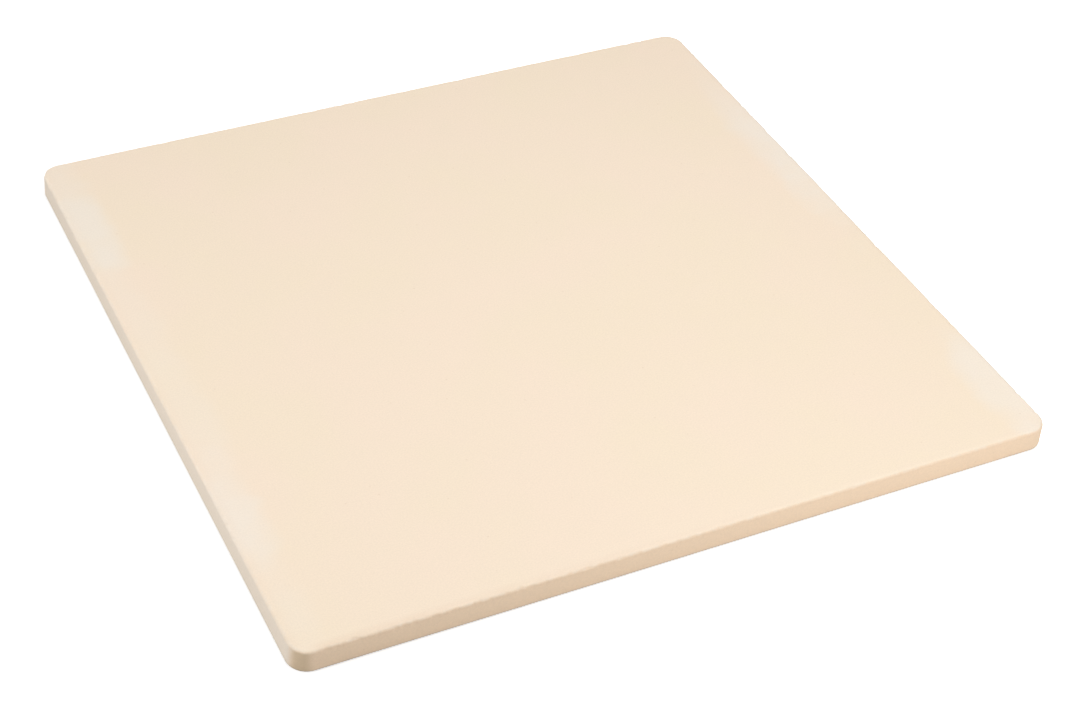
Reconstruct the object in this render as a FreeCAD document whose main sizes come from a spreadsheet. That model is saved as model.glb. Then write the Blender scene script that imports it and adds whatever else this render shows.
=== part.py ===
# Square baking stone: one slab of pressed and fired ceramic, with round corners and eased edges.
# Lengths are in millimetres. The origin is under the middle of the slab, on the surface that it
# rests on. X and Y run square to the slab's sides, and Z points up out of the baking face.

import FreeCAD
import Part
import Sketcher
import math
import os

PARTS_FOLDER = "parts"
SHEET_NAME = "Sizes"

# The driving dimensions: the name of each, its value and what it measures.
DRIVING_DIMENSIONS = (
    ("side_length", 380.0, "outside length of each of the four sides"),
    ("slab_thickness", 12.0, "from the underside to the baking face"),
    ("corner_radius", 10.0, "round of each upright corner, seen from above"),
    ("top_edge_radius", 1.5, "round where the baking face meets the side wall"),
    ("bottom_edge_radius", 1.0, "round where the side wall meets the underside"),
)

# A square's sides, one for each quarter turn.
SIDE_COUNT = 4

# The numbers by which a sketch knows the points of a line or arc, and its own origin.
START, END, CENTRE = 1, 2, 3
SKETCH_ORIGIN = (-1, 1)

UP = FreeCAD.Vector(0, 0, 1)
DIRECTION_TOLERANCE = 1e-6


def make_sheet(doc):
    """The spreadsheet of driving dimensions: name, value under that alias, and meaning."""
    sheet = doc.addObject("Spreadsheet::Sheet", SHEET_NAME)
    for row, (alias, value, meaning) in enumerate(DRIVING_DIMENSIONS, start=1):
        sheet.set(f"A{row}", alias)
        sheet.set(f"B{row}", str(value))
        sheet.set(f"C{row}", meaning)
        sheet.setAlias(f"B{row}", alias)
    doc.recompute()
    return sheet


def from_sheet(alias):
    """The expression that reads one driving dimension."""
    return f"{SHEET_NAME}.{alias}"


def origin_plane(body, role):
    """One of the body's own origin planes, such as XY_Plane."""
    return next(plane for plane in body.Origin.OriginFeatures if plane.Role == role)


def turned_point(x, y, turns):
    """A point of the sketch, turned anticlockwise about the origin by quarter turns."""
    for _ in range(turns):
        x, y = -y, x
    return FreeCAD.Vector(x, y, 0)


def add_round_square(sketch, side, radius):
    """Adds the sides (front, right, back, left) and the corner arc that follows each of them."""
    half = side / 2
    straight = half - radius
    quarter_turn = math.pi / 2
    sides = []
    arcs = []
    for turn in range(SIDE_COUNT):
        first = turned_point(-straight, -half, turn)
        last = turned_point(straight, -half, turn)
        sides.append(sketch.addGeometry(Part.LineSegment(first, last), False))
        circle = Part.Circle(turned_point(straight, -straight, turn), UP, radius)
        angle = (turn - 1) * quarter_turn
        arcs.append(sketch.addGeometry(Part.ArcOfCircle(circle, angle, angle + quarter_turn), False))
    return sides, arcs


def join_round_square(sketch, sides, arcs):
    """Holds the loop closed and smooth, square to the axes and centred on the origin."""
    front, right, back, left = sides
    for turn, arc in enumerate(arcs):
        next_side = sides[(turn + 1) % SIDE_COUNT]
        sketch.addConstraint(Sketcher.Constraint("Tangent", sides[turn], END, arc, START))
        sketch.addConstraint(Sketcher.Constraint("Tangent", arc, END, next_side, START))
    for level_side in (front, back):
        sketch.addConstraint(Sketcher.Constraint("Horizontal", level_side))
    for upright_side in (right, left):
        sketch.addConstraint(Sketcher.Constraint("Vertical", upright_side))
    for other_arc in arcs[1:]:
        sketch.addConstraint(Sketcher.Constraint("Equal", arcs[0], other_arc))
    opposite_arc = arcs[SIDE_COUNT // 2]
    centred = Sketcher.Constraint("Symmetric", arcs[0], CENTRE, opposite_arc, CENTRE, *SKETCH_ORIGIN)
    sketch.addConstraint(centred)


def size_round_square(sketch, sides, arcs, side, radius):
    """Ties the loop's width, depth and corner round to the sheet."""
    front, right, back, left = sides
    sized = (
        ("width", Sketcher.Constraint("DistanceX", left, START, right, START, side), "side_length"),
        ("depth", Sketcher.Constraint("DistanceY", front, START, back, START, side), "side_length"),
        ("corner", Sketcher.Constraint("Radius", arcs[0], radius), "corner_radius"),
    )
    for name, constraint, alias in sized:
        number = sketch.addConstraint(constraint)
        sketch.renameConstraint(number, name)
        sketch.setExpression(f"Constraints.{name}", from_sheet(alias))


def add_slab_outline(body, sheet):
    """The slab seen from above, drawn on the underside's plane."""
    outline = body.newObject("Sketcher::SketchObject", "SlabOutline")
    outline.AttachmentSupport = [(origin_plane(body, "XY_Plane"), "")]
    outline.MapMode = "FlatFace"
    sides, arcs = add_round_square(outline, sheet.side_length, sheet.corner_radius)
    join_round_square(outline, sides, arcs)
    size_round_square(outline, sides, arcs, sheet.side_length, sheet.corner_radius)
    body.Document.recompute()
    return outline


def round_edges_of_face(body, name, base, facing, alias):
    """Rounds every edge of the flat face of base that looks along facing, which is up or down Z."""
    flat_faces = [
        f"Face{number}"
        for number, face in enumerate(base.Shape.Faces, start=1)
        if isinstance(face.Surface, Part.Plane)
        and face.normalAt(0, 0).isEqual(facing, DIRECTION_TOLERANCE)
    ]
    fillet = body.newObject("PartDesign::Fillet", name)
    fillet.Base = (base, flat_faces)
    fillet.setExpression("Radius", from_sheet(alias))
    body.Document.recompute()
    return fillet


def make_stone_slab(doc, sheet):
    """The whole stone: its outline raised from the underside to the baking face, then eased all round."""
    body = doc.addObject("PartDesign::Body", "StoneSlab")
    body.Label = "stone_slab"

    slab = body.newObject("PartDesign::Pad", "SlabThickness")
    slab.Profile = add_slab_outline(body, sheet)
    slab.setExpression("Length", from_sheet("slab_thickness"))
    doc.recompute()

    eased_top = round_edges_of_face(body, "TopEdgeRound", slab, UP, "top_edge_radius")
    round_edges_of_face(body, "BottomEdgeRound", eased_top, -UP, "bottom_edge_radius")
    return body


def check(doc, sub_parts):
    """Stops the build if any object failed, or a sub-part isn't one closed, valid solid."""
    failed = [item.Name for item in doc.Objects if {"Invalid", "Error"} & set(item.State)]
    if failed:
        raise RuntimeError(f"these objects failed to build: {failed}")
    for sub_part in sub_parts:
        shape = sub_part.Shape
        if shape.isNull() or not shape.isValid() or len(shape.Solids) != 1:
            raise RuntimeError(f"{sub_part.Label} is not one valid solid")


def export(sub_parts):
    """Writes each sub-part to a file named after it, and prints its size."""
    os.makedirs(PARTS_FOLDER, exist_ok=True)
    for sub_part in sub_parts:
        shape = sub_part.Shape
        shape.exportStep(os.path.join(PARTS_FOLDER, f"{sub_part.Label}.step"))
        box = shape.optimalBoundingBox(False, False)
        print(
            f"{sub_part.Label}: {box.XLength:.2f} x {box.YLength:.2f} x {box.ZLength:.2f} mm, "
            f"underside at z {box.ZMin:.2f}, volume {shape.Volume:.0f} mm3, {len(shape.Faces)} faces"
        )


def main():
    doc = FreeCAD.newDocument("BakingStone")
    sheet = make_sheet(doc)
    sub_parts = [make_stone_slab(doc, sheet)]
    doc.recompute()
    check(doc, sub_parts)
    export(sub_parts)


main()
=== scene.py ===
# Looks of the square baking stone: the fired slab with its slightly worn edges, a white studio and a camera.
# Lengths are in metres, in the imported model's frame: X along the front edge, Y to the back and Z up.

import math
import random

import bpy
import numpy as np
from mathutils import Color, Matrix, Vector, noise


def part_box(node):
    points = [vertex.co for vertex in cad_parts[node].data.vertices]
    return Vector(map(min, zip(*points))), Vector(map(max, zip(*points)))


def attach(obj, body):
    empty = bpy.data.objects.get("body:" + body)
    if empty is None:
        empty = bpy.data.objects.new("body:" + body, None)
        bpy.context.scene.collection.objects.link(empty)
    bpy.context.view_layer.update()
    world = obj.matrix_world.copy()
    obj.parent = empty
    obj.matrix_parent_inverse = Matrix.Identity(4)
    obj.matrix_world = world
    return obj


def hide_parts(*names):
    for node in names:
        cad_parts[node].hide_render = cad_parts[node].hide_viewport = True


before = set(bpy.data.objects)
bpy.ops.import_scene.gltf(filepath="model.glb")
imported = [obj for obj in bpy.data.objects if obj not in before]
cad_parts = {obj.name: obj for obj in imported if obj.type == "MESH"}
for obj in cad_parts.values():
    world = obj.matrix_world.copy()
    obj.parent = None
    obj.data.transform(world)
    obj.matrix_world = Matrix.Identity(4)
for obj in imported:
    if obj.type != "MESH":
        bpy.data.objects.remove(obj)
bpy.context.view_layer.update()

MM = 0.001

# The slab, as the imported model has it, and the piece that stands for it
SLAB_NODE = "stone_slab"
SLAB_BODY = "root"
SLAB_SLOT = "cordierite"
SLAB_PIECE = "fired_slab"
SLAB_LOW, SLAB_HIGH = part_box(SLAB_NODE)
SIDE_COUNT = 4
SIDE = SLAB_HIGH[0] - SLAB_LOW[0]
HALF_SIDE = SIDE / 2
TOP = SLAB_HIGH[2]
CORNER_RADIUS = 10 * MM
TOP_ROUND = 1.5 * MM
BOTTOM_ROUND = 1.0 * MM

# Steps of the slab's mesh: along each side, and down from the shoulder of the baking face to the underside
EDGE_STEPS = 720
SHOULDER_STEPS = 3
TOP_ROUND_STEPS = 7
WALL_STEPS = 6
BOTTOM_ROUND_STEPS = 4

# Rings inside a flat face's rim: each has half the steps of the one before, and so has the grid inside them.
RING_INSETS = (7 * MM, 8.5 * MM)
GRID_INSET = CORNER_RADIUS

# How far the fired slab is from true, and the channels of the noise that shapes it
SWELL = 0.12 * MM
SWELL_WAVE = 90 * MM
ROUND_CHANGE_SHARE = 0.25
ROUND_CHANGE_WAVE = 55 * MM
ROUND_CHANNEL = 0
CHIP_CHANNEL = 1
SWELL_CHANNELS = (2, 3, 4)
CHANNEL_PITCH = 31.7

# How the top edge is rubbed down, chipped and nicked
SHOULDER = 5 * MM
SHOULDER_DROP = 0.04 * MM
CHIP = 0.12 * MM
CHIP_WAVE = 2.2 * MM
CHIP_FROM_TO = (-0.1, 0.35)
CHIP_FADE = 2 * MM
NICKS = 46
NICK_SEED = 7
NICK_WIDTHS = (0.8 * MM, 2.2 * MM)
NICK_DEPTHS = (0.12 * MM, 0.45 * MM)

# The front edge is worn most at its left end, and less and less to the right.
WORN_FROM = -HALF_SIDE + CORNER_RADIUS
WORN_TO_SHARE = 0.4
WORN_TO = WORN_TO_SHARE * HALF_SIDE
WORN_ROUND = 1.1 * MM
WORN_SHOULDER_DROP = 0.3 * MM
WORN_CHIP = 0.42 * MM

# The left wall leans in at the top, most at its front end, and its rim gets a little painted shade too.
LEFT_LEAN = 1.0 * MM
LEFT_BACK_SHARE = 0.5
LEFT_RIM_SHADE_SHARE = 0.35

# The texture map: the baking face takes most of it, with the walls above and the underside beside it.
MAP_NAME = "OFBake"
MAP_TOP_SHARE = 0.76
MAP_UNDER_SHARE = 0.215
MAP_MARGIN_SHARE = 0.008
MAP_WALL_PITCH_SHARE = 0.045


def noise_at(point, wave, channel):
    """Smooth noise from -1 to 1 that changes over about a wave. Each channel is another noise."""
    return noise.noise(Vector(point) / wave + Vector((0, 0, CHANNEL_PITCH * channel)))


def smooth_step(value, low, high):
    """A smooth change from 0 to 1 as value goes from low to high."""
    share = np.clip((value - low) / (high - low), 0, 1)
    return share**2 * (3 - 2 * share)


def side_length(half, corner):
    """Length of one side of a square with round corners, with half a corner's arc at each end."""
    return 2 * (half - corner) + corner * math.pi / 2


def quarter_turned(points):
    """Points of the plan, turned anticlockwise by a quarter turn."""
    return np.stack([-points[:, 1], points[:, 0]], axis=1)


def ring(half, corner, steps):
    """Points round a square with round corners, anticlockwise from the middle of its front left corner.

    Returns the points and their outward normals, with the given steps on each of the four sides.
    """
    half_arc = corner * math.pi / 4
    straight = 2 * (half - corner)
    along = np.arange(steps) / steps * side_length(half, corner) - half_arc
    bend = (np.minimum(along, 0) + np.maximum(along - straight, 0)) / corner
    normals = np.stack([np.sin(bend), -np.cos(bend)], axis=1)
    core = np.stack([np.clip(along, 0, straight) - straight / 2, np.full(steps, corner - half)], axis=1)
    sides = [(core + corner * normals, normals)]
    while len(sides) < SIDE_COUNT:
        sides.append(tuple(quarter_turned(part) for part in sides[-1]))
    return tuple(np.concatenate(parts) for parts in zip(*sides))


class SlabMesh:
    """Collects the slab's vertices, how worn they are and how much painted shade their rim gets, its faces
    and the map place of each face's corners.
    """

    def __init__(self):
        self.places = []
        self.wear = []
        self.rim = []
        self.faces = []
        self.corners = []

    def add_places(self, places, wear=0.0, rim=0.0):
        """Adds vertices and returns their numbers."""
        first = len(self.places)
        self.places.extend(map(tuple, places))
        self.wear.extend(np.broadcast_to(wear, len(places)))
        self.rim.extend(np.broadcast_to(rim, len(places)))
        return np.arange(first, len(self.places))

    def add_face(self, vertices, corners):
        """Adds a face by the numbers of its vertices, each with its place on the map."""
        self.faces.append([int(v) for v in vertices])
        self.corners.extend(corners)


def worn_share(points):
    """How much the front edge is worn at each point of the outline, from 1 close to its left end to 0."""
    x, y = points.T
    share = np.clip((WORN_TO - x) / (WORN_TO - WORN_FROM), 0, 1)
    off_corner = smooth_step(x, WORN_FROM - CORNER_RADIUS / 2, WORN_FROM + CORNER_RADIUS / 2)
    return share * off_corner * (y < -HALF_SIDE / 2)


def left_share(points):
    """How much of the left wall's lean each point of the outline has, from 1 at its front end to 0 off it."""
    x, y = points.T
    share = np.interp(y, (-HALF_SIDE, HALF_SIDE), (1, LEFT_BACK_SHARE))
    return share * smooth_step(x, CORNER_RADIUS / 2 - HALF_SIDE, -HALF_SIDE)


def nick_depths(points):
    """How deep the small nicks in the top edge are at each point of the outline."""
    dice = random.Random(NICK_SEED)
    depths = np.zeros(len(points))
    for _ in range(NICKS):
        middle = points[dice.randrange(len(points))]
        width = dice.uniform(*NICK_WIDTHS)
        deep = dice.uniform(*NICK_DEPTHS)
        away = np.linalg.norm(points - middle, axis=1) / width
        depths = np.maximum(depths, deep * np.exp(-(away**2)))
    return depths


def top_edge(points, worn):
    """The top edge at each point of the outline: its round, and how far small chips take it back."""
    change = np.array([noise_at((*point, 0), ROUND_CHANGE_WAVE, ROUND_CHANNEL) for point in points])
    ragged = np.array([noise_at((*point, 0), CHIP_WAVE, CHIP_CHANNEL) for point in points])
    rounds = TOP_ROUND * (1 + ROUND_CHANGE_SHARE * change)
    rounds += worn * (WORN_ROUND - rounds)
    chips = (CHIP + worn * (WORN_CHIP - CHIP)) * smooth_step(ragged, *CHIP_FROM_TO)
    return rounds, chips


def edge_rings(slab):
    """Rings of vertices over the shoulder and the top round, down the wall and under the bottom round."""
    points, normals = ring(HALF_SIDE, CORNER_RADIUS, EDGE_STEPS)
    worn = worn_share(points)
    left = left_share(points)
    rounds, chips = top_edge(points, worn)
    nicks = nick_depths(points)
    drops = SHOULDER_DROP + worn * (WORN_SHOULDER_DROP - SHOULDER_DROP)
    # How much painted shade the rim gets: most where the front edge is worn, and some along the left edge
    rim_shades = worn + LEFT_RIM_SHADE_SHARE * left
    rings = []

    def closeness(inset):
        """How close the outline is, from 0 at the shoulder's inner side to 1."""
        return np.clip(1 - inset / SHOULDER, 0, 1)

    def add(inset, height, wear=0.0, rim=0.0):
        """Adds a ring inside the outline, by inset and by how far the left wall leans in at that height."""
        height = np.broadcast_to(height, len(points))
        inset = inset + LEFT_LEAN * left * height / TOP
        places = np.column_stack([points - inset[:, None] * normals, height])
        rings.append(slab.add_places(places, wear, rim))

    # The shoulder, which drops a little towards the top round
    for share in np.arange(SHOULDER_STEPS) / SHOULDER_STEPS:
        inset = SHOULDER + share * (rounds + chips - SHOULDER)
        add(inset, TOP - drops * closeness(inset) ** 2, rim=rim_shades * closeness(inset))

    # The top round, which the nicks cut deepest at its middle
    for angle in np.linspace(math.pi / 2, 0, TOP_ROUND_STEPS + 1):
        reach = rounds - nicks * math.sin(2 * angle)
        inset = rounds + chips - reach * math.cos(angle)
        height = TOP - rounds + reach * math.sin(angle) - drops * closeness(inset) ** 2
        add(inset, height, math.sin(2 * angle), rim_shades * closeness(inset) * math.sin(angle))

    # The wall, in steps that grow downwards, with the chips fading out below the top round
    wall_top = TOP - rounds - drops
    for share in (np.arange(1, WALL_STEPS) / WALL_STEPS) ** 2:
        down = share * (wall_top - BOTTOM_ROUND)
        add(chips * smooth_step(down, CHIP_FADE, 0), wall_top - down)

    # The bottom round
    for angle in np.linspace(0, math.pi / 2, BOTTOM_ROUND_STEPS + 1):
        add(BOTTOM_ROUND * (1 - math.cos(angle)), BOTTOM_ROUND * (1 - math.sin(angle)))
    return rings


def wall_corner(side, along, down):
    """Place on the map of a point of the wall: along its side and down from the baking face, in metres."""
    scale = MAP_TOP_SHARE / SIDE
    base = MAP_TOP_SHARE + 2 * MAP_MARGIN_SHARE + side * MAP_WALL_PITCH_SHARE
    return (MAP_MARGIN_SHARE + along * scale, base + down * scale)


def add_wall(slab, rings):
    """Faces between the rings, from the baking face's edge to the underside's."""
    count = SIDE_COUNT * EDGE_STEPS
    step = side_length(HALF_SIDE, CORNER_RADIUS) / EDGE_STEPS
    profile = np.array([slab.places[numbers[EDGE_STEPS // 2]] for numbers in rings])
    downs = np.concatenate([[0], np.cumsum(np.linalg.norm(np.diff(profile, axis=0), axis=1))])
    for level, (upper, lower) in enumerate(zip(rings, rings[1:])):
        high, low = downs[level : level + 2]
        for i in range(count):
            j = (i + 1) % count
            side, place = divmod(i, EDGE_STEPS)
            near, far = place * step, (place + 1) * step
            corners = [
                wall_corner(side, near, low),
                wall_corner(side, far, low),
                wall_corner(side, far, high),
                wall_corner(side, near, high),
            ]
            slab.add_face((lower[i], lower[j], upper[j], upper[i]), corners)


def plan_shares(place):
    """How far a point lies from the left side and from the front side, in shares of the slab's side."""
    return [(along + HALF_SIDE) / SIDE for along in place[:2]]


def top_corner(place):
    """Place on the map of a point of the baking face."""
    x, y = plan_shares(place)
    return (MAP_MARGIN_SHARE + MAP_TOP_SHARE * x, MAP_MARGIN_SHARE + MAP_TOP_SHARE * y)


def under_corner(place):
    """Place on the map of a point of the underside, which is seen from below."""
    x, y = plan_shares(place)
    return (1 - MAP_MARGIN_SHARE - MAP_UNDER_SHARE * x, MAP_MARGIN_SHARE + MAP_UNDER_SHARE * y)


def add_flat(slab, rim, height, corner_of, upward):
    """Closes a flat face inside a rim: rings that halve the steps, then an even grid of squares."""

    def add_points(points):
        """Adds vertices at the face's height and returns their numbers."""
        return slab.add_places(np.column_stack([points, np.full(len(points), height)]))

    def add(vertices):
        """Adds a triangle or a square that looks out of the slab."""
        ordered = vertices if upward else vertices[::-1]
        slab.add_face(ordered, [corner_of(slab.places[v]) for v in ordered])

    def halve(outer, inner):
        """Three triangles for each step of the inner ring, beside two steps of the outer one."""
        for k, near in enumerate(inner):
            far = inner[(k + 1) % len(inner)]
            first, middle, last = (outer[(2 * k + n) % len(outer)] for n in range(3))
            add((first, middle, near))
            add((middle, far, near))
            add((middle, last, far))

    steps = EDGE_STEPS // 2
    outer = rim
    for inset in RING_INSETS:
        points, _ = ring(HALF_SIDE - inset, CORNER_RADIUS - inset, steps)
        inner = add_points(points)
        halve(outer, inner)
        outer = inner
        steps //= 2

    at = np.linspace(-1, 1, steps + 1) * (HALF_SIDE - GRID_INSET)
    x, y = np.meshgrid(at, at)
    grid = add_points(np.column_stack([x.ravel(), y.ravel()])).reshape(x.shape)
    border = np.concatenate([grid[0, :-1], grid[:-1, -1], grid[-1, :0:-1], grid[:0:-1, 0]])
    halve(outer, border)
    for j in range(steps):
        for i in range(steps):
            add((grid[j, i], grid[j, i + 1], grid[j + 1, i + 1], grid[j + 1, i]))


def swollen(place):
    """A vertex moved a little, as firing leaves the slab. The underside stays level."""
    x, y, z = place
    right, back, up = (SWELL * noise_at(place, SWELL_WAVE, channel) for channel in SWELL_CHANNELS)
    return (x + right, y + back, z + up * z / TOP)


def add_object(name, data):
    """A new object of the scene that holds a mesh, a light or a camera."""
    item = bpy.data.objects.new(name, data)
    bpy.context.collection.objects.link(item)
    return item


def make_slab():
    """The slab as one closed mesh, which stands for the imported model's solid."""
    slab = SlabMesh()
    rings = edge_rings(slab)
    add_wall(slab, rings)
    add_flat(slab, rings[0], TOP, top_corner, upward=True)
    add_flat(slab, rings[-1], 0.0, under_corner, upward=False)

    mesh = bpy.data.meshes.new(SLAB_PIECE)
    mesh.from_pydata([swollen(place) for place in slab.places], [], slab.faces)
    mesh.polygons.foreach_set("use_smooth", np.ones(len(slab.faces), bool))
    for name, values in (("wear", slab.wear), ("rim", slab.rim)):
        mesh.attributes.new(name, "FLOAT", "POINT").data.foreach_set("value", np.array(values, np.float32))
    layer = mesh.uv_layers.new(name=MAP_NAME)
    layer.data.foreach_set("uv", np.array(slab.corners, np.float32).ravel())
    return add_object(SLAB_PIECE, mesh)


# How finely noise is broken up, and the Mix node's colour sockets, known by number because their names repeat
NOISE_DETAIL = 3.0
MIX_SHARE, MIX_FIRST, MIX_SECOND = 0, 6, 7
MIX_RESULT = 2


class Shader:
    """Adds nodes to a material or a world and links them.

    A value may be a number, a colour or another node's output.
    """

    def __init__(self, owner):
        owner.use_nodes = True
        self.tree = owner.node_tree
        self.tree.nodes.clear()

    def add(self, kind, inputs, **settings):
        """A node of a kind, with values for its input sockets and its own settings."""
        node = self.tree.nodes.new(kind)
        for name, value in settings.items():
            setattr(node, name, value)
        for name, value in inputs.items():
            if isinstance(value, bpy.types.NodeSocket):
                self.tree.links.new(value, node.inputs[name])
            else:
                node.inputs[name].default_value = value
        return node

    def noise(self, vector, wave):
        """Noise from 0 to 1 that changes over about a wave, in metres."""
        inputs = {"Vector": vector, "Scale": 1 / wave, "Detail": NOISE_DETAIL}
        return self.add("ShaderNodeTexNoise", inputs).outputs["Fac"]

    def cells(self, vector, pitch):
        """Random cells about a pitch apart, in metres: the Distance to a cell's middle, and its own Color."""
        return self.add("ShaderNodeTexVoronoi", {"Vector": vector, "Scale": 1 / pitch}).outputs

    def axes(self, vector):
        """The X, Y and Z of a vector."""
        return self.add("ShaderNodeSeparateXYZ", {"Vector": vector}).outputs

    def attribute(self, name):
        """A value that the mesh holds at each vertex."""
        return self.add("ShaderNodeAttribute", {}, attribute_name=name).outputs["Fac"]

    def seen(self):
        """1 on the way from the camera, from gloss and through glass, and 0 for all other light."""
        path = self.add("ShaderNodeLightPath", {}).outputs
        mirrored = self.maths("MAXIMUM", path["Is Glossy Ray"], path["Is Transmission Ray"])
        return self.maths("MAXIMUM", path["Is Camera Ray"], mirrored)

    def step(self, value, low, high, start=0.0, end=1.0):
        """A smooth change from start to end as value goes from low to high."""
        inputs = {"Value": value, "From Min": low, "From Max": high, "To Min": start, "To Max": end}
        node = self.add("ShaderNodeMapRange", inputs, interpolation_type="SMOOTHSTEP")
        return node.outputs["Result"]

    def maths(self, operation, first, second=0.0):
        """One operation on numbers."""
        node = self.add("ShaderNodeMath", {0: first, 1: second}, operation=operation)
        return node.outputs["Value"]

    def vector_maths(self, operation, first, second, output="Vector"):
        """One operation on vectors, which gives a vector or, with output="Value", a number."""
        node = self.add("ShaderNodeVectorMath", {0: first, 1: second}, operation=operation)
        return node.outputs[output]

    def scale(self, colour, factor):
        """A colour made lighter or darker by a factor."""
        node = self.add("ShaderNodeVectorMath", {0: colour, "Scale": factor}, operation="SCALE")
        return node.outputs["Vector"]

    def mix(self, share, first, second):
        """Colours mixed: first where share is 0, second where it is 1."""
        inputs = {MIX_SHARE: share, MIX_FIRST: first, MIX_SECOND: second}
        return self.add("ShaderNodeMix", inputs, data_type="RGBA").outputs[MIX_RESULT]


# The level of each colour where the screen is white
SCREEN_WHITE = 255


def linear(red, green, blue):
    """A colour written as it shows on screen, from 0 to 255, as the shader's linear values."""
    shown = Color([level / SCREEN_WHITE for level in (red, green, blue)])
    return (*shown.from_srgb_to_scene_linear(), 1.0)


# The fired ceramic: colours, then the waves of its patterns and the pitch of its specks and pores
CREAM = linear(246, 228, 206)
CREAM_PINK = linear(248, 228, 207)
CREAM_STRAW = linear(246, 229, 204)
PALE = linear(244, 234, 221)
# Painted light: the front and back walls' darker, warmer tan and the left and right walls' cooler grey stand
# in for the light that falls on them
WALL_WARM_LIGHT_TAN = linear(243, 217, 188)
SIDE_COOL_LIGHT_GREY = linear(238, 224, 207)
# Painted shade for the front left corner's round
CORNER_SHADE_TAN = linear(221, 197, 166)
# Painted shade for the rim of the top edge, where the worn front and the left edges fall away from the light
RIM_SHADE_TAN = linear(232, 205, 178)
# Painted shade along the foot of the walls, where they meet the floor
FOOT_SHADE_GREY = linear(188, 174, 157)
SPECK_TAN = linear(196, 160, 118)
MOTTLE_WAVE = 70 * MM
PALE_PATCH_WAVE = 34 * MM
CLOUD_WAVE = 14 * MM
RIM_WAVE = 9 * MM
WEAR_WAVE = 3.5 * MM
GRAIN_WAVE = 0.8 * MM
SAND_WAVE = 0.55 * MM
SPECK_PITCH = 7 * MM
PORE_PITCH = 2.6 * MM

# Noise stays close to its middle, so a pattern is spread out between these two values of it.
NOISE_FROM_TO = (0.35, 0.65)
GRAIN_FROM_TO = (0.2, 0.8)

# Pale patches near the left and right edges of the baking face: each stretch's side, middle and half length
# along Y, and strength
PALE_PATCH_STRETCH_SHARES = (
    (-1, 0.0, 1.37, 0.25),
    (-1, 0.75, 0.42, 0.5),
    (-1, -0.52, 0.26, 0.45),
    (1, 0.34, 0.55, 0.8),
    (1, -0.84, 0.29, 0.65),
)
PALE_PATCH_INSET = 7 * MM
PALE_PATCH_HALF_WIDTH = 17 * MM
PALE_PATCH_SHARES = (0.7, 1.0)
PALE_PATCH_RAGGED_SHARES = (0.2, -0.2)

# Painted light on the walls: the tan on the front and back walls stands in for warmer, dimmer light, and on
# the front edge's round for shade, and the paler grey on the left and right walls stands in for cooler light.
# Each row: the colour, the axis that a wall faces along, how far it faces that way where its colour starts
# and where it is whole, and how level the surface is at those two places
WALL_LIGHT_TINTS = (
    (SIDE_COOL_LIGHT_GREY, "X", (-0.3, -0.9), (0.6, 0.2)),
    (SIDE_COOL_LIGHT_GREY, "X", (0.3, 0.9), (0.6, 0.2)),
    (WALL_WARM_LIGHT_TAN, "Y", (-0.1, -0.7), (0.99, 0.55)),
    (WALL_WARM_LIGHT_TAN, "Y", (0.1, 0.7), (0.4, 0.1)),
)

# Painted shade: a darker patch on the front left corner's round, where little light falls, and a grey line
# along the foot of the walls, where they meet the floor
DARK_CORNER_ANGLE = math.radians(232)
DARK_CORNER = (
    CORNER_RADIUS - HALF_SIDE + CORNER_RADIUS * math.cos(DARK_CORNER_ANGLE),
    CORNER_RADIUS - HALF_SIDE + CORNER_RADIUS * math.sin(DARK_CORNER_ANGLE),
    0.0,
)
DARK_CORNER_FROM_TO = (6.5 * MM, 1.5 * MM)
DARK_CORNER_LEVELS = (0.7, 0.3)
FOOT_FROM_TO = (0.3 * MM, 1.5 * MM)
FOOT_SHARE = 0.8
FOOT_LEVELS = (1.0, 0.8)

# How much painted shade in tan the rim gets, how much of the worn edge is pale, and how specks, grain and
# pores show
RIM_SHADE_SHARES = (0.35, 0.6)
WEAR_SHARES = (0.0, 0.3)
SPECK_FROM_TO = (0.09, 0.03)
SPECK_SHARE = 0.16
SPECKED_CELLS_FROM_TO = (0.62, 0.7)
GRAIN_SHADES = (0.965, 1.03)
ROUGHNESSES = (0.82, 0.95)
SPECULAR_LEVEL = 0.3
PORE_FROM_TO = (0.05, 0.16)
BUMP_STRENGTH = 0.35
BUMP_DEPTH = 0.08 * MM


def pale_patch_share(shader, coords):
    """Where the pale patches lie, from 0 to 1."""
    uneven = shader.noise(coords, PALE_PATCH_WAVE)
    ragged = shader.step(uneven, *NOISE_FROM_TO, *PALE_PATCH_RAGGED_SHARES)
    total = 0.0
    for side, middle, half_length, strength in PALE_PATCH_STRETCH_SHARES:
        centre = (side * (HALF_SIDE - PALE_PATCH_INSET), middle * HALF_SIDE, TOP)
        reach = (PALE_PATCH_HALF_WIDTH, half_length * HALF_SIDE, PALE_PATCH_HALF_WIDTH)
        away = shader.vector_maths("SUBTRACT", coords, centre)
        away = shader.vector_maths("DIVIDE", away, reach)
        square = shader.vector_maths("DOT_PRODUCT", away, away, output="Value")
        square = shader.maths("ADD", square, ragged)
        total = shader.maths("ADD", total, shader.step(square, 1.0, 0.0, 0.0, strength))
    return shader.maths("MULTIPLY", total, shader.step(uneven, *NOISE_FROM_TO, *PALE_PATCH_SHARES))


def face_colour(shader, coords):
    """The baking face: cream, softly mottled from pink to straw, with its pale patches."""
    mottle = shader.step(shader.noise(coords, MOTTLE_WAVE), *NOISE_FROM_TO)
    colour = shader.mix(mottle, CREAM_PINK, CREAM_STRAW)
    colour = shader.mix(shader.noise(coords, CLOUD_WAVE), colour, CREAM)
    return shader.mix(pale_patch_share(shader, coords), colour, PALE)


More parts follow.
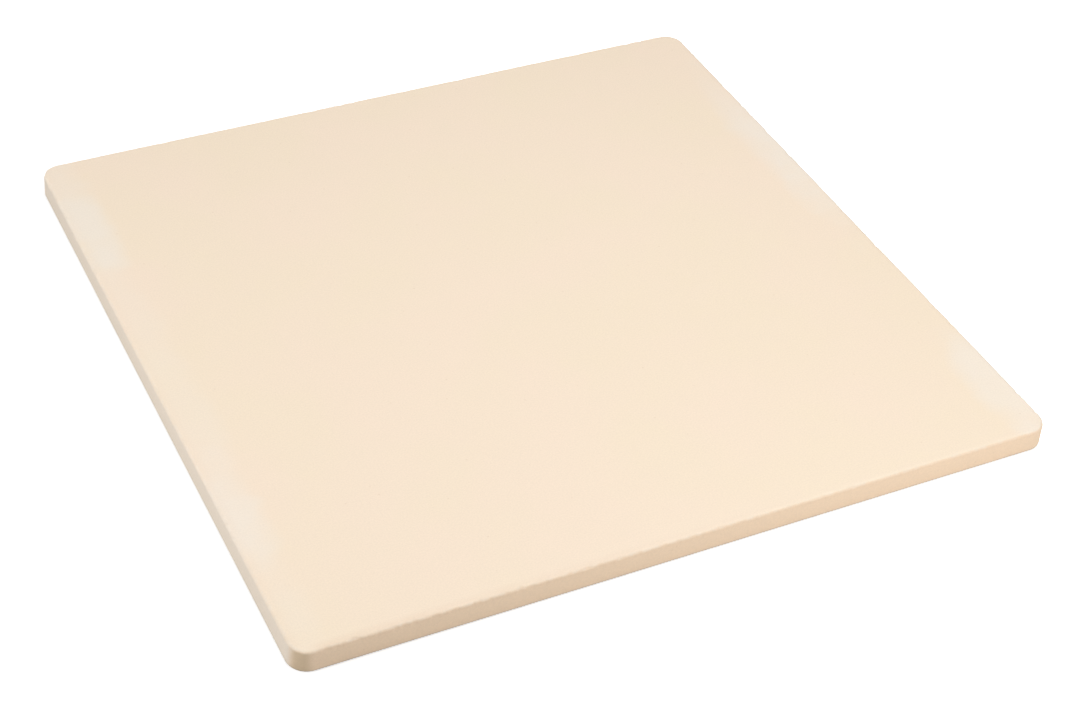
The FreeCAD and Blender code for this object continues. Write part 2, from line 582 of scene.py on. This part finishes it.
def add_painted_wall_light_and_shade(shader, coords, colour):
    """The walls in painted light and shade: warm and cool tints by the way each faces, painted shade on the
    front left corner and a grey line of painted shade along the foot.
    """
    facing = shader.axes(shader.add("ShaderNodeNewGeometry", {}).outputs["Normal"])
    level = shader.maths("ABSOLUTE", facing["Z"])
    # Painted light: each wall tinted by the way it faces
    for paint, axis, from_to, levels in WALL_LIGHT_TINTS:
        share = shader.maths("MULTIPLY", shader.step(facing[axis], *from_to), shader.step(level, *levels))
        colour = shader.mix(share, colour, paint)

    # Painted shade on the front left corner's round, which faces where little light comes from
    plan = shader.vector_maths("MULTIPLY", coords, (1.0, 1.0, 0.0))
    away = shader.vector_maths("DISTANCE", plan, DARK_CORNER, output="Value")
    corner_shade = shader.step(away, *DARK_CORNER_FROM_TO)
    corner_shade = shader.maths("MULTIPLY", corner_shade, shader.step(level, *DARK_CORNER_LEVELS))
    colour = shader.mix(corner_shade, colour, CORNER_SHADE_TAN)

    # Painted shade: a grey line along the foot of the walls, where they meet the floor
    foot = shader.step(shader.axes(coords)["Z"], *FOOT_FROM_TO, FOOT_SHARE, 0.0)
    foot = shader.maths("MULTIPLY", foot, shader.step(level, *FOOT_LEVELS))
    return shader.mix(foot, colour, FOOT_SHADE_GREY)


def add_rim_shade_and_wear(shader, coords, colour):
    """The top edge: painted shade in tan on its rim, where its shoulder falls away from the light, and paler
    wear on its round.
    """
    # Painted shade in tan on the rim, where the shoulder falls away from the light
    tan = shader.step(shader.noise(coords, RIM_WAVE), *NOISE_FROM_TO, *RIM_SHADE_SHARES)
    colour = shader.mix(shader.maths("MULTIPLY", tan, shader.attribute("rim")), colour, RIM_SHADE_TAN)
    pale = shader.step(shader.noise(coords, WEAR_WAVE), *NOISE_FROM_TO, *WEAR_SHARES)
    return shader.mix(shader.maths("MULTIPLY", pale, shader.attribute("wear")), colour, PALE)


def add_specks(shader, coords, colour):
    """Small tan specks, in the middles of some of the cells."""
    cells = shader.cells(coords, SPECK_PITCH)
    spot = shader.step(cells["Distance"], *SPECK_FROM_TO, 0.0, SPECK_SHARE)
    chosen = shader.step(cells["Color"], *SPECKED_CELLS_FROM_TO)
    return shader.mix(shader.maths("MULTIPLY", spot, chosen), colour, SPECK_TAN)


def sandy_normal(shader, coords):
    """The fine relief of sand and open pores."""
    pits = shader.step(shader.cells(coords, PORE_PITCH)["Distance"], *PORE_FROM_TO, -1.0, 0.0)
    height = shader.maths("ADD", shader.noise(coords, SAND_WAVE), pits)
    inputs = {"Height": height, "Strength": BUMP_STRENGTH, "Distance": BUMP_DEPTH}
    return shader.add("ShaderNodeBump", inputs).outputs["Normal"]


def make_cordierite():
    """Unglazed cream ceramic, matte and finely grained."""
    material = bpy.data.materials.new(SLAB_SLOT)
    shader = Shader(material)
    coords = shader.add("ShaderNodeTexCoord", {}).outputs["Object"]
    colour = face_colour(shader, coords)
    for change in (add_painted_wall_light_and_shade, add_rim_shade_and_wear, add_specks):
        colour = change(shader, coords, colour)
    grain = shader.noise(coords, GRAIN_WAVE)
    inputs = {
        "Base Color": shader.scale(colour, shader.step(grain, *GRAIN_FROM_TO, *GRAIN_SHADES)),
        "Roughness": shader.step(grain, *GRAIN_FROM_TO, *ROUGHNESSES),
        "Normal": sandy_normal(shader, coords),
        "Specular IOR Level": SPECULAR_LEVEL,
    }
    surface = shader.add("ShaderNodeBsdfPrincipled", inputs)
    shader.add("ShaderNodeOutputMaterial", {"Surface": surface.outputs["BSDF"]})
    return material


# The floor: its greys to the left and right of the slab, and how it is lifted to white as the camera sees it
FLOOR_NAME = "studio_floor"
FLOOR_REACH = 40.0
FLOOR_DROP = 0.1 * MM
FLOOR_LEFT = (0.6, 0.6, 0.6, 1.0)
FLOOR_RIGHT = (0.95, 0.95, 0.95, 1.0)
FLOOR_LIFT_FROM_TO = (0.3, 0.8)
FLOOR_LIFTS = (0.6, 0.95)

# Light: the world's colour and strength, and each lamp's name, place, width, height and power in watts
WHITE = (1.0, 1.0, 1.0, 1.0)
WORLD_STRENGTH = 0.15
LAMPS = (
    ("over_right_back", (0.25, 0.25, 0.9), 0.6, 0.6, 2.28),
    ("over_right_front", (0.25, -0.22, 0.9), 0.6, 0.6, 3.5),
    ("left_high", (-1.35, 0.15, 1.2), 0.9, 0.9, 13.3),
    ("left_low", (-0.6, -0.08, 0.15), 0.4, 0.2, 0.37),
    ("front_low", (0.14, -0.65, 0.16), 0.4, 0.2, 1.05),
)

# The camera, where it stood for the photograph: its place in shares of the slab's side, its turn in radians
CAMERA_NAME = "photo_view"
CAMERA_PLACE_SHARES = (-1.0513, -2.0967, 1.8375)
CAMERA_TURN = (0.8861, -0.0456, -0.4426)
CAMERA_LENS_MM = 75.08
CAMERA_SENSOR_MM = 36.0


def make_floor_material():
    """Matte greys that the camera and gloss see lifted to white, most of all away from the slab."""
    material = bpy.data.materials.new(FLOOR_NAME)
    shader = Shader(material)
    coords = shader.add("ShaderNodeTexCoord", {}).outputs["Object"]
    away = shader.vector_maths("DISTANCE", coords, (0.0, 0.0, 0.0), output="Value")
    lift = shader.step(away, *FLOOR_LIFT_FROM_TO, *FLOOR_LIFTS)
    glow = shader.add("ShaderNodeEmission", {"Strength": shader.maths("MULTIPLY", lift, shader.seen())})
    colour = shader.mix(shader.step(shader.axes(coords)["X"], -SIDE, SIDE), FLOOR_LEFT, FLOOR_RIGHT)
    matte = shader.add("ShaderNodeBsdfDiffuse", {"Color": colour})
    surface = shader.add("ShaderNodeAddShader", {0: matte.outputs["BSDF"], 1: glow.outputs["Emission"]})
    shader.add("ShaderNodeOutputMaterial", {"Surface": surface.outputs["Shader"]})
    return material


def make_floor():
    """A wide floor just under the slab, which keeps the slab's shadow."""
    mesh = bpy.data.meshes.new(FLOOR_NAME)
    signs = ((-1, -1), (1, -1), (1, 1), (-1, 1))
    corners = [(x * FLOOR_REACH, y * FLOOR_REACH, -FLOOR_DROP) for x, y in signs]
    mesh.from_pydata(corners, [], [range(len(corners))])
    mesh.materials.append(make_floor_material())
    floor = add_object(FLOOR_NAME, mesh)


def make_world():
    """Even light all round, and white behind the floor for the camera and for gloss."""
    world = bpy.data.worlds.new("studio")
    shader = Shader(world)
    strength = shader.step(shader.seen(), 0.0, 1.0, WORLD_STRENGTH, 1.0)
    background = shader.add("ShaderNodeBackground", {"Color": WHITE, "Strength": strength})
    shader.add("ShaderNodeOutputWorld", {"Surface": background.outputs["Background"]})
    bpy.context.scene.world = world


def add_lamp(name, place, wide, tall, watts):
    """A soft lamp that faces the middle of the slab and that the camera doesn't see."""
    light = bpy.data.lights.new(name, "AREA")
    light.shape = "RECTANGLE"
    light.size = wide
    light.size_y = tall
    light.energy = watts
    lamp = add_object(name, light)
    lamp.location = place
    lamp.rotation_euler = (-Vector(place)).to_track_quat("-Z", "Y").to_euler()
    lamp.visible_camera = False


def make_camera():
    """The camera, with the photograph's view."""
    lens = bpy.data.cameras.new(CAMERA_NAME)
    lens.lens = CAMERA_LENS_MM
    lens.sensor_width = CAMERA_SENSOR_MM
    camera = add_object(CAMERA_NAME, lens)
    camera.location = [share * SIDE for share in CAMERA_PLACE_SHARES]
    camera.rotation_euler = CAMERA_TURN
    bpy.context.scene.camera = camera


def main():
    """Dresses the slab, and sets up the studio."""
    slab = make_slab()
    slab.data.materials.append(make_cordierite())
    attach(slab, SLAB_BODY)
    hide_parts(SLAB_NODE)
    make_floor()
    make_world()
    for lamp in LAMPS:
        add_lamp(*lamp)
    make_camera()
    bpy.context.scene.view_settings.view_transform = "Standard"


main()
